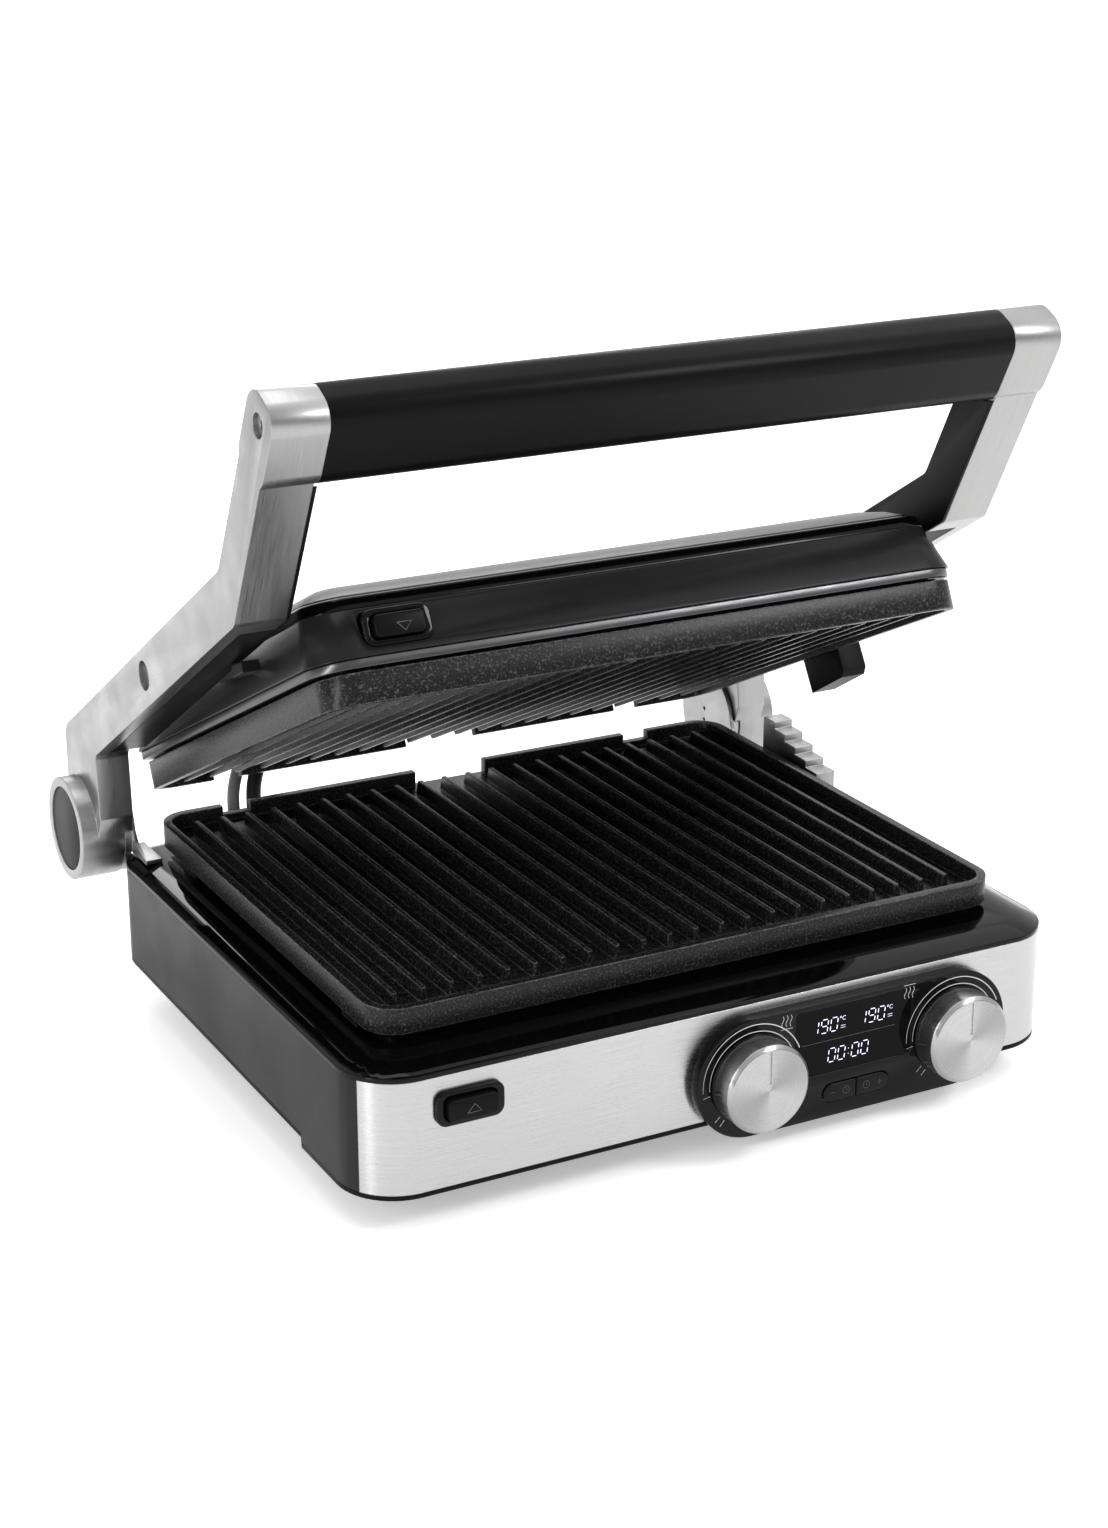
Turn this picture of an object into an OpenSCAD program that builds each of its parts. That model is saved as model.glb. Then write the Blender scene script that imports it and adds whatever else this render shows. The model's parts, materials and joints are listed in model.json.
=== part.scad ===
// Panini press with two ribbed plates, a floating lid on two swing arms, two dials and a timer.
// Millimetres. X runs across, Y from front to back, Z up. The lid and the arms are drawn closed
// and swung open about the hinge, so the angle of the lid is one number.

/* [Base] */
// Width of the base
base_w = 340; // [330:1:350]
// Depth of the base
base_d = 283; // [280:1:290]
// Height of the underside above the table
foot_h = 15; // [12:1:18]
// Top of the steel front panel
deck_z = 66.7; // [64:0.1:70]
// Corner radius at the front of the base
front_r = 26; // [22:1:30]

/* [Plates] */
// Width of each cooking plate over its rim
plate_w = 304; // [300:1:306]
// Depth of each cooking plate over its rim
plate_d = 250; // [246:1:252]
// Height of the lower rim's underside
plate_z = 75.7; // [75:0.1:77]
// Height of the rim wall
rim_h = 11.3; // [11:0.1:12]
// Number of ribs on each plate
rib_count = 22; // [18:1:22]
// Distance from rib to rib
rib_pitch = 12.9; // [12:0.1:13]

/* [Hinge] */
// Angle that the lid stands open at rest
open_angle = 25.8; // [20:0.1:30]
// Distance of the hinge axis behind the middle
hinge_y = 144; // [142:1:146]
// Height of the hinge axis
hinge_z = 80.5; // [80:0.5:82]
// Radius of the hubs
hub_r = 24.5; // [22:0.5:25]
// Outer face of the hubs from the middle
hub_x = 188.8; // [186:0.1:190]

/* [Arms and handle] */
// Outer face of the arms from the middle
arm_x = 181; // [180:1:183]
// Rise of the long part of the arm at rest
beam_angle = 31.5; // [30:0.5:33]
// Rise of the part that carries the handle at rest
grip_angle = 62.7; // [60:0.1:65]
// Thickness of the long part of the arm
beam_t = 24; // [22:1:26]
// Thickness of the part that carries the handle
grip_t = 21.5; // [20:0.5:23]

/* [Controls] */
// Radius of the two dials
dial_r = 20; // [18:0.5:21]
// Height of the dials and of the middle of the control panel
dial_z = 35.3; // [34:0.1:37]
// Middle of the left dial
dial_left_x = 6.5; // [5:0.5:8]
// Middle of the right dial
dial_right_x = 108.5; // [106:0.5:110]
// Half the height of the control panel
panel_r = 27; // [26:0.5:28]

/* [Hidden] */
$fn = 64;
front = -base_d / 2 - 8.5;
back = front + base_d;
rear_r = 22;
wall = 3;
skin = 0.8;
seam_y = front + 12.5;
step_y = front + 62.4;
side_z = 21.9;
foot_x = 126;
rim_z = 17.3;
frame_top = deck_z + 5.3;
plate_y = front + 24;
plate_back = plate_y + plate_d;
plate_r = 15;
rim_t = 4;
rim_top = plate_z + rim_h;
floor_z = plate_z + 4;
body_in = 8;
body_h = 6;
rib_w = 4.4;
rib_top_w = 2.2;
rib_front = plate_y + 19;
rib_back = plate_back - 12;
// Closed lid
closed_gap = 2.4;
lid_z = rim_top + closed_gap;
lid_y = plate_y + 3.8;
lid_back = lid_y + plate_d;
pivot_y = lid_y + 132.5;
pivot_z = lid_z + 40.7;
pivot_r = 6.5;
shell_w = 310;
shell_r = 19;
shell_y = lid_y - 1;
shell_back = lid_back - 2;
trim_z = lid_z + 14.5;
shell_z = trim_z + 4;
band_z = lid_z + 39;
cover_z = lid_z + 44;
lid_top = lid_z + 54;
// Arms
arm_in = 165;
grip_in = 158.6;
skin_in = 174;
cover_in = 157;
hub_in = 168.5;
ring_in = 162.8;
cap_r = 20;
leg_front = hinge_y - 26;
leg_back = hinge_y + 16;
beam_dir = [-cos(beam_angle), sin(beam_angle)];
beam_up = [sin(beam_angle), cos(beam_angle)];
grip_dir = [-cos(grip_angle), sin(grip_angle)];
grip_up = [sin(grip_angle), cos(grip_angle)];
pivot = swung([pivot_y, pivot_z]);
beam_mid = pivot - 1.1 * beam_up;
grip_mid = [-96, 321.5];
grip_long = 39;
grip_deep = 25;
grip_r = 10;
grip_drop = 7;
elbow_cut = 14;
leg_cut = 30;
shaft_r = 6;
run = 0.05;
gap = 0.4;
// Controls
panel_y = front - 5.5;
panel_back = front - 0.1;
dial_front = front - 19;
dial_back = panel_y - 1.5;
dial_x = [dial_left_x, dial_right_x];
key_x = -123.3;
key_z = 52.5;
lid_key_x = -117.5;
lid_key_z = lid_z + 29.5;
pill_x = 58.5;
pill_z = dial_z - 16;
pill_w = 34;
pill_h = 9;
window = [27, 29, 86, 61];
// Height stop
rack_in = 157;
rack_out = 168;
rack_back = 79;
rack_top = 100;
tread = 9.8;
riser = 3.75;
steps = 5;
stop_long = 32;
stop_back = 22;
stop_drop = 41.5;
stop_travel = 47;
// Drip tray
tray_w = 120;
tray_front = 5;
tray_z = [25.4, 46];
lead_x = -104;

// A point of the closed lid or arm, [y, z], moved to where it is at rest
function swung(p) = let (y = p[0] - hinge_y, z = p[1] - hinge_z)
    [hinge_y + y * cos(open_angle) + z * sin(open_angle),
     hinge_z - y * sin(open_angle) + z * cos(open_angle)];
// Where two lines meet, each given by a point and a direction
function meet(p, u, q, w) = let (d = u[0] * w[1] - u[1] * w[0], r = q - p)
    p + u * (r[0] * w[1] - r[1] * w[0]) / d;
// The points of one rounded corner
function corner(a, p, b, r, n = 8) = r == 0 ? [p] : let (
        u = (a - p) / norm(a - p), w = (b - p) / norm(b - p),
        half = acos(u * w) / 2, c = p + (u + w) / norm(u + w) * r / sin(half),
        s = p + u * r / tan(half) - c, e = p + w * r / tan(half) - c,
        a0 = atan2(s[1], s[0]), d = atan2(s[0] * e[1] - s[1] * e[0], s * e))
    [for (i = [0 : n]) c + r * [cos(a0 + d * i / n), sin(a0 + d * i / n)]];
// A closed outline with its corners rounded
function rounded(p, r) = let (n = len(p))
    [for (i = [0 : n - 1]) each corner(p[(i + n - 1) % n], p[i], p[(i + 1) % n], r[i])];

module along_x(x0, x1) translate([x0, 0, 0]) rotate([90, 0, 90]) linear_extrude(x1 - x0) children();
module along_y(y0, y1) translate([0, y1, 0]) rotate([90, 0, 0]) linear_extrude(y1 - y0) children();
module block(x, y, z) translate([x[0], y[0], z[0]]) cube([x[1] - x[0], y[1] - y[0], z[1] - z[0]]);
module rod_x(x0, x1, y, z, r) translate([x0, y, z]) rotate([0, 90, 0]) cylinder(h = x1 - x0, r = r);
module rod_y(y0, y1, x, z, r) translate([x, y1, z]) rotate([90, 0, 0]) cylinder(h = y1 - y0, r = r);
module opened() translate([0, hinge_y, hinge_z]) rotate([-open_angle, 0, 0])
    translate([0, -hinge_y, -hinge_z]) children();
module left() mirror([1, 0, 0]) children();

// A rounded rectangle from its width, its front and back, and the radii of its corners
module plan(w, y0, y1, r_front, r_back) {
    translate([0, y0 + r_front]) translate([-w / 2, 0]) square([w, y1 - y0 - r_front - r_back]);
    translate([-w / 2 + r_front, y0]) square([w - 2 * r_front, r_front + 1]);
    translate([-w / 2 + r_back, y1 - r_back - 1]) square([w - 2 * r_back, r_back + 1]);
    for (s = [-1, 1]) {
        translate([s * (w / 2 - r_front), y0 + r_front]) circle(r_front);
        translate([s * (w / 2 - r_back), y1 - r_back]) circle(r_back);
    }
}
module slab(w, y0, y1, r_front, r_back, z0, z1)
    translate([0, 0, z0]) linear_extrude(z1 - z0) plan(w, y0, y1, r_front, r_back);
// A rounded bar section in the plane of x and z
module pad(x, z, w, h, r) {
    translate([x - w / 2 + r, z - h / 2]) square([w - 2 * r, h]);
    translate([x - w / 2, z - h / 2 + r]) square([w, h - 2 * r]);
    for (i = [-1, 1], j = [-1, 1]) translate([x + i * (w / 2 - r), z + j * (h / 2 - r)]) circle(r);
}
module panel_outline(r) {
    translate([dial_left_x, dial_z - r]) square([dial_right_x - dial_left_x, 2 * r]);
    for (x = dial_x) translate([x, dial_z]) circle(r);
}

// ---- base ----

module base_plan(inset) plan(base_w - 2 * inset, front + inset, back - inset,
    front_r - inset, rear_r - inset);

module base_housing() color("#3c3c3e") difference() {
    union() {
        translate([0, 0, side_z]) linear_extrude(deck_z - side_z) base_plan(0);
        translate([0, 0, rim_z]) linear_extrude(side_z - rim_z) intersection() {
            base_plan(0);
            translate([-base_w / 2, front]) square([base_w, step_y - front]);
        }
    }
    translate([0, 0, rim_z - 1]) linear_extrude(deck_z) base_plan(wall);
    // rebate for the steel skin
    translate([0, 0, rim_z - 1]) linear_extrude(deck_z) difference() {
        translate([-base_w / 2 - 1, front - 1]) square([base_w + 2, seam_y - front + 1]);
        base_plan(skin + 0.1);
    }
    along_y(front - 1, front + 8) pad((dial_left_x + dial_right_x) / 2, 39, 96, 39, 3);
    for (x = dial_x) rod_y(front - 1, front + 8, x, dial_z, 15);
    along_y(front - 1, front + 8) pad(key_x, key_z, 27, 12, 2);
    block([-tray_w / 2 - 1, tray_w / 2 + 1], [back - wall - 1, back + 1], [tray_z[0] - 1, tray_z[1] + 1]);
    rod_y(back - wall - 1, back + 1, -110, 34, 6);
}

module front_panel() color("#c9c9c8") difference() {
    translate([0, 0, rim_z]) linear_extrude(deck_z - rim_z) intersection() {
        difference() {
            base_plan(0);
            base_plan(skin);
        }
        translate([-base_w / 2 - 1, front - 1]) square([base_w + 2, seam_y - front + 1]);
    }
    along_y(front - 1, front + 2) pad((dial_left_x + dial_right_x) / 2, 39, 96, 39, 3);
    for (x = dial_x) rod_y(front - 1, front + 2, x, dial_z, 15);
    along_y(front - 1, front + 2) pad(key_x, key_z, 27, 12, 2);
}

module base_top_frame() color("#0c0c0d") {
    difference() {
        hull() {
            translate([0, 0, deck_z]) linear_extrude(2) base_plan(0);
            translate([0, 0, frame_top - 0.5]) linear_extrude(0.5) base_plan(11);
        }
        slab(plate_w - 2 * body_in + 3, plate_y + body_in - 1.5, plate_back - body_in + 1.5, 10, 10,
            deck_z - 1, frame_top + 1);
        block([-30, 30], [plate_back - 12, back - 6], [deck_z - 1, frame_top + 1]);
        block([rack_in - 0.05, rack_out + 0.05], [rack_back - steps * tread - 0.05, rack_back + 0.05],
            [deck_z - 1, frame_top + 1]);
        block([lead_x - 13, lead_x + 13], [plate_back - 2, back + 1], [deck_z - 1, frame_top + 1]);
    }
    // rests under the rim of the plate
    for (x = [-148.5, 148.5], y = [plate_y + 30, plate_back - 40])
        block([x - 2, x + 2], [y - 8, y + 8], [frame_top - 0.2, plate_z - 0.05]);
}

module bottom_cover() color("#141414") difference() {
    union() {
        translate([0, 0, foot_h]) linear_extrude(rim_z - foot_h - 0.05) intersection() {
            base_plan(0);
            translate([-base_w / 2, front]) square([base_w, step_y - front]);
        }
        block([-base_w / 2 + wall + 0.2, base_w / 2 - wall - 0.2], [step_y - 3, step_y + 1],
            [foot_h, side_z + 2]);
        translate([0, 0, side_z - 2.3]) linear_extrude(2.25) intersection() {
            base_plan(0);
            translate([-base_w / 2, step_y + 0.05]) square([base_w, back - step_y + 1]);
        }
    }
    // vents
    for (x = [-100 : 10 : 100]) block([x - 2, x + 2], [-60, -20], [foot_h, side_z + 1]);
}

module feet() color("#1b1b1b") for (x = [-foot_x, foot_x]) {
    translate([x, front + 44, 0]) cylinder(h = foot_h, r1 = 10, r2 = 12);
    translate([x, back - 30, 0]) cylinder(h = side_z - 2.35, r1 = 10, r2 = 12);
}

module control_panel() color("#0b0b0c") difference() {
    along_y(panel_y, panel_back) panel_outline(panel_r);
    along_y(panel_y - 1, panel_y + 1.2) window_outline(0);
    along_y(panel_y - 1, panel_back + 1) window_outline(2);
    for (x = dial_x) rod_y(panel_y - 1, panel_back + 1, x, dial_z, 5);
    along_y(panel_y - 1, panel_back + 1) pad(pill_x, pill_z, pill_w, pill_h, pill_h / 2 - 0.01);
}
module window_outline(inset) pad((window[0] + window[2]) / 2, (window[1] + window[3]) / 2 - 0.5,
    window[2] - window[0] - 2 * inset, window[3] - window[1] - 2 * inset - 1, 2);

module display_lens() color("#1a1a20", 0.7) along_y(panel_y, panel_y + 1.15) window_outline(0.05);

module display_module() color("#22222a")
    block([window[0] + 3.3, window[2] - 3.3], [panel_y + 1.25, front + 3], [window[1] + 2.8, window[3] - 4.3]);

module control_board() color("#1f4d2c") difference() {
    block([-22, 138], [front + 3.1, front + 4.7], [18, 58]);
    for (x = dial_x) rod_y(front + 3, front + 5, x, dial_z, 5);
}

module dial(x) {
    difference() {
        union() {
            rod_y(dial_front + 1.6, dial_back, x, dial_z, dial_r);
            translate([x, dial_front + 1.6, dial_z]) rotate([90, 0, 0])
                cylinder(h = 1.6, r1 = dial_r, r2 = dial_r - 1.6);
        }
        rod_y(dial_back - 9, dial_back + 1, x, dial_z, 3);
        block([x - 0.4, x + 0.4], [dial_front - 1, dial_front + 0.5], [dial_z + 3, dial_z + dial_r - 2.5]);
    }
}
module left_dial() color("#c4c4c4") dial(dial_left_x);
module right_dial() color("#c4c4c4") dial(dial_right_x);
module spindle(x) rod_y(dial_back - 8.5, front + 8, x, dial_z, 2.95);
module left_dial_spindle() color("#9a9a9a") spindle(dial_left_x);
module right_dial_spindle() color("#9a9a9a") spindle(dial_right_x);
module potentiometer(x) difference() {
    union() {
        rod_y(front + 4.8, front + 14, x, dial_z, 11);
        rod_y(panel_y + 2, front + 4.8, x, dial_z, 4.8);
    }
    rod_y(panel_y + 1, front + 8.5, x, dial_z, 3);
}
module left_potentiometer() color("#77777a") potentiometer(dial_left_x);
module right_potentiometer() color("#77777a") potentiometer(dial_right_x);

module pill_half(side) color("#121213") along_y(panel_y - 0.6, front - 1.6) intersection() {
    pad(pill_x, pill_z, pill_w - 2 * gap, pill_h - 2 * gap, pill_h / 2 - gap - 0.01);
    translate([side < 0 ? pill_x - pill_w : pill_x + gap / 2, pill_z - pill_h])
        square([pill_w - gap / 2, 2 * pill_h]);
}
module minus_button() pill_half(-1);
module plus_button() pill_half(1);

// ---- plate releases: a key, its surround and the hook behind it ----

module key_surround(x, z, y) difference() {
    along_y(y - 2.4, y - 0.05) pad(x, z, 30, 15, 4.5);
    along_y(y - 3, y + 1) pad(x, z, 23, 10, 2.6);
}
module key_cap(x, z, y) along_y(y - 5.5, y + 8) pad(x, z, 23 - 2 * gap, 10 - 2 * gap, 2.4);
// The hook reaches from the key to the tooth on the plate; up is 1 below a plate, -1 above it
module key_hook(x, z, y, tooth_z, up) {
    block([x - 5, x + 5], [y + 8, y + 42.4], [z - 1.5, z + 1.5]);
    block([x - 5, x + 5], [y + 39.4, y + 42.4], up > 0 ? [z, tooth_z + 4.5] : [tooth_z - 4.5, z]);
    block([x - 5, x + 5], [y + 37, y + 42.4],
        up > 0 ? [tooth_z + 2.4, tooth_z + 4.5] : [tooth_z - 4.5, tooth_z - 2.4]);
}
module plate_tooth(x, y, tooth_z, up, root_z) {
    block([x - 6, x + 6], [y + 33, y + 36], up > 0 ? [tooth_z, root_z] : [root_z, tooth_z]);
    block([x - 6, x + 6], [y + 35, y + 38.2], up > 0 ? [tooth_z, tooth_z + 2] : [tooth_z - 2, tooth_z]);
}

module lower_release_bezel() color("#101011") key_surround(key_x, key_z, front);
module lower_release_button() color("#161617") key_cap(key_x, key_z, front);
module lower_release_latch() color("#8a8a8a") key_hook(key_x, key_z, front, plate_z - 14, 1);

// ---- plates ----

module ribs(z0, z1, y0, y1) {
    for (i = [0 : rib_count - 1]) translate([(i - (rib_count - 1) / 2) * rib_pitch, 0, 0]) {
        along_y(y0, y1) polygon([[-rib_w / 2, z0], [rib_w / 2, z0], [rib_top_w / 2, z1], [-rib_top_w / 2, z1]]);
        translate([0, y0, min(z0, z1)]) cylinder(h = abs(z1 - z0), r1 = z0 < z1 ? rib_w / 2 : rib_top_w / 2,
            r2 = z0 < z1 ? rib_top_w / 2 : rib_w / 2, $fn = 16);
    }
}
// Gaps in the back wall: the drain in the middle and a clip notch at each side
module back_gaps(z0, z1) {
    block([-18, 20], [plate_back - 9, plate_back + 1], [z0, z1]);
    for (x = [-112, 106]) block([x - 7, x + 7], [plate_back - rim_t - 1, plate_back + 1],
        z1 > plate_z + 20 ? [z0, z0 + 5] : [z0 + 3, z1]);
}
module lower_plate() color("#2a2a2b") {
    difference() {
        union() {
            slab(plate_w, plate_y, plate_back, plate_r, plate_r, plate_z, rim_top);
            slab(plate_w - 2 * body_in, plate_y + body_in, plate_back - body_in, 8, 8,
                plate_z - body_h, plate_z + 1);
        }
        slab(plate_w - 2 * rim_t, plate_y + rim_t, plate_back - rim_t, plate_r - rim_t, plate_r - rim_t,
            floor_z, rim_top + 1);
        back_gaps(floor_z, rim_top + 1);
        slab(plate_w - 2 * body_in - 10, plate_y + body_in + 5, plate_back - body_in - 5, 5, 5,
            plate_z - body_h - 1, plate_z - 1.5);
    }
    ribs(floor_z - 0.5, rim_top - 1.5, rib_front, rib_back);
    plate_tooth(key_x, front, plate_z - 14, 1, plate_z - body_h + 0.5);
}
// The U-shaped run of a tubular element, centred at height z
module element_path(z, r) {
    for (x = [-100, 100]) rod_y(-70, 95, x, z, r);
    for (s = [-1, 1]) translate([s * 70, -70, z]) rotate([0, 0, s > 0 ? -90 : 180])
        rotate_extrude(angle = 90) translate([30, 0]) circle(r);
    rod_x(-70, 70, -100, z, r);
}
module lower_heating_element() color("#6d6a66") {
    element_path(plate_z - 4.8, 3.2);
    for (x = [-100, 100]) translate([x, 95, plate_z - 20]) cylinder(h = 16, r = 3);
}
module lower_reflector() color("#b8b8b4") difference() {
    slab(220, front + 40, plate_back - 16, 10, 10, 50, 62);
    slab(218.4, front + 40.8, plate_back - 16.8, 9.2, 9.2, 50.8, 63);
    for (x = [-100, 100]) translate([x, 95, 40]) cylinder(h = 20, r = 4);
}
module lower_thermostat() color("#d8d4c6") {
    translate([0, 0, 51]) cylinder(h = plate_z - 1.6 - 51, r = 12);
}
module drip_tray() color("#232324") difference() {
    union() {
        block([-tray_w / 2, tray_w / 2], [tray_front, back + 0.5], tray_z);
        along_y(back + 0.2, back + 4) pad(0, (tray_z[0] + tray_z[1]) / 2, tray_w + 6, 24, 4);
    }
    block([-tray_w / 2 + 2, tray_w / 2 - 2], [tray_front + 2, back - 3], [tray_z[0] + 2, tray_z[1] + 3]);
    block([-24, 24], [back + 1.8, back + 5], [tray_z[0] - 4, tray_z[0] + 9]);
}
module mains_gland() color("#151515") difference() {
    union() {
        rod_y(back - 6, back + 9, -110, 34, 5.9);
        rod_y(back + 0.1, back + 2.5, -110, 34, 9);
    }
    rod_y(back - 7, back + 10, -110, 34, 3.4);
}

// ---- hinges ----

module hinge_bracket() color("#c0bfbd") difference() {
    union() {
        rod_x(ring_in, hub_in - 0.3, hinge_y, hinge_z, hub_r - 0.5);
        along_x(ring_in, ring_in + 1.8) polygon([[hinge_y - 40, frame_top], [hinge_y - 12, frame_top],
            [hinge_y - 8, hinge_z + 6], [hinge_y - 23, hinge_z + 4], [hinge_y - 27, hinge_z - 2]]);
        block([ring_in - 6, ring_in + 1.8], [hinge_y - 42, hinge_y - 18], [frame_top, frame_top + 2]);
    }
    rod_x(ring_in + 2, hub_in, hinge_y, hinge_z, shaft_r);
    for (z = [-3, 3]) rod_x(ring_in - 1, ring_in + 1, hinge_y + 2, hinge_z + z, 1);
    translate([0, 0, rim_z]) linear_extrude(frame_top - rim_z) base_plan(-0.1);
}
module right_hinge_bracket() hinge_bracket();
module left_hinge_bracket() left() hinge_bracket();
module hinge_pin() color("#8f8f8f") rod_x(ring_in + 2.05, hub_x - 6, hinge_y, hinge_z, shaft_r - 0.01);
module right_hinge_pin() hinge_pin();
module left_hinge_pin() left() hinge_pin();

module height_step_rack() color("#cfcfcd") {
    for (i = [0 : steps - 1]) block([rack_in, rack_out],
        [rack_back - (i + 1) * tread, rack_back - i * tread + (i == 0 ? 0 : 0.2)],
        [deck_z, rack_top - i * riser]);
}

// ---- leads between the base and the lid ----

lead_in = plate_back + 3.5;
// Points of the route as [shift across, y, z]
lead_shift = 22;
lead_route = [[0, lead_in, deck_z + 3.9], [1, 133, 77], [6, 145, 85], [12, 152, 94], [18, 154, 104],
    [22, 151, 114], concat(lead_shift, swung([lid_back - 5, lid_z + 29])),
    concat(lead_shift, swung([92, lid_z + 31]))];
module lead(x, r) for (i = [0 : len(lead_route) - 2]) hull() {
    translate(lead_route[i] + [x, 0, 0]) sphere(r, $fn = 14);
    translate(lead_route[i + 1] + [x, 0, 0]) sphere(r, $fn = 14);
}
module braided_lead() color("#a5a5a8") lead(lead_x - 5.5, 3);
module sleeved_lead() color("#1c1c1d") lead(lead_x + 5, 3.6);
module lead_grommet() color("#161616") difference() {
    block([lead_x - 12.8, lead_x + 12.8], [plate_back - 1.8, back - 0.3], [deck_z + 0.05, deck_z + 3.4]);
    block([lead_x - 9.4, lead_x + 9.6], [lead_in - 4.2, lead_in + 4.2], [deck_z - 1, deck_z + 6]);
}

// ---- arms and handle ----

top_end = grip_mid + grip_dir * grip_t / 2;
elbow_front = meet(grip_mid - grip_up * grip_t / 2, grip_dir, beam_mid - beam_up * beam_t / 2, beam_dir);
elbow_back = meet(grip_mid + grip_up * grip_t / 2, grip_dir, beam_mid + beam_up * beam_t / 2, beam_dir);
heel_front = meet([leg_front, 0], [0, 1], beam_mid - beam_up * beam_t / 2, beam_dir);
heel_back = meet([leg_back, 0], [0, 1], beam_mid + beam_up * beam_t / 2, beam_dir);
module arm_outline() {
    polygon(rounded([[hinge_y, hinge_z], [hinge_y - hub_r + 0.1, hinge_z + 2],
        [leg_front - 2, hinge_z + 12], heel_front, elbow_front, top_end - grip_up * grip_t / 2,
        top_end + grip_up * grip_t / 2, elbow_back, heel_back, [leg_back, hinge_z]],
        [0, 0, 2, 4, 6, grip_t / 2 - 0.05, grip_t / 2 - 0.05, 8, 9, 0]));
}
// The half of the arm in front of a cut across the long part, or behind it
module before(p, side)
    translate(p) rotate(-beam_angle) translate([side < 0 ? -400 : 0, -200]) square([400, 400]);
module grip_section(grow) translate(grip_mid - grip_dir * grip_drop) rotate(-grip_angle)
    pad(0, 0, grip_long + 2 * grow, grip_deep + 2 * grow, grip_r + grow);
module arm() difference() {
    union() {
        along_x(skin_in, arm_x) arm_outline();
        along_x(grip_in, arm_x) intersection() {
            arm_outline();
            before(elbow_front - beam_dir * elbow_cut, -1);
        }
        along_x(arm_in, arm_x) intersection() {
            arm_outline();
            before(heel_front + beam_dir * leg_cut * 0.1, 1);
        }
        rod_x(hub_in, hub_x, hinge_y, hinge_z, hub_r);
        along_x(cover_in, arm_x) grip_section(0);
    }
    rod_x(arm_in - 1, hub_in, hinge_y, hinge_z, hub_r + 0.5);
    rod_x(hub_in - 1, hub_x - 5, hinge_y, hinge_z, shaft_r + run);
    rod_x(hub_x - 3, hub_x + 1, hinge_y, hinge_z, cap_r);
    rod_x(skin_in - 1, arm_x + 1, pivot[0], pivot[1], pivot_r + run);
    rod_x(cover_in - 1, arm_x + 1, grip_mid[0], grip_mid[1], 3.1);
    rod_x(arm_x - 5, arm_x + 1, grip_mid[0], grip_mid[1], 5);
}
module right_arm() color("#c6c5c3") arm();
module left_arm() color("#c6c5c3") left() arm();
module arm_cover() color("#1a1a1b") difference() {
    union() {
        along_x(cover_in, skin_in - 0.1) intersection() {
            arm_outline();
            before(elbow_front - beam_dir * (elbow_cut + 0.2), 1);
            before(heel_front + beam_dir * (leg_cut * 0.1 + 0.2), -1);
        }
        along_x(cover_in, grip_in - 0.1) difference() {
            intersection() {
                arm_outline();
                before(elbow_front - beam_dir * (elbow_cut + 0.2), -1);
            }
            grip_section(1);
        }
    }
    rod_x(cover_in - 1, skin_in, pivot[0], pivot[1], pivot_r + run);
    rod_x(cover_in - 1, arm_in, grip_mid[0], grip_mid[1], 12);
}
module right_arm_cover() arm_cover();
module left_arm_cover() left() arm_cover();
module hub_cap() color("#38383a") rod_x(hub_x - 3, hub_x - 0.4, hinge_y, hinge_z, cap_r - 0.1);
module right_hub_cap() hub_cap();
module left_hub_cap() left() hub_cap();
module handle_grip() color("#161617") difference() {
    along_x(-cover_in + 0.1, cover_in - 0.1) grip_section(0);
    rod_x(-cover_in, cover_in, grip_mid[0], grip_mid[1], 4.2);
}
module handle_rod() color("#9c9c9c") rod_x(-arm_x + 12, arm_x - 12, grip_mid[0], grip_mid[1], 3);
module handle_bolts() color("#77777a") for (s = [0, 1]) mirror([s, 0, 0]) difference() {
    union() {
        rod_x(arm_x - 4.9, arm_x - 2, grip_mid[0], grip_mid[1], 4.8);
        rod_x(arm_x - 11.9, arm_x - 4.9, grip_mid[0], grip_mid[1], 3);
    }
    rod_x(arm_x - 3.6, arm_x, grip_mid[0], grip_mid[1], 2.2);
}

// ---- height stop: a block that slides along a rail under the right arm ----

stop_mid = beam_mid - beam_up * beam_t / 2;
// A flat shape with its x running back along the underside of the arm and its y up from it
module under_arm() translate(stop_mid) rotate(-beam_angle) children();
module stop_guide_rail() color("#2a2a2b") along_x(arm_in - 6, skin_in - 2) under_arm()
    translate([stop_back - stop_long - 4, -3.05]) square([stop_long + stop_travel + 8, 3]);
module height_stop() color("#1c1c1d") {
    nose = stop_back - stop_long;
    along_x(rack_in, rack_out + 2) under_arm() polygon([[nose, -18], [nose + 7, -18], [nose + 7, -3.4],
        [stop_back, -3.4], [stop_back, -stop_drop], [nose + 3, -stop_drop], [nose, -stop_drop + 3]]);
    along_x(rack_in + 3, rack_out + 5) under_arm() translate([nose + 7, -14]) square([14, 10.6]);
    knob = stop_mid + beam_dir * (stop_long - stop_back - 12) - beam_up * 10;
    rod_x(rack_out + 4, rack_out + 13, knob[0], knob[1], 4.5);
}

// ---- lid, drawn closed and swung open ----

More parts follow.
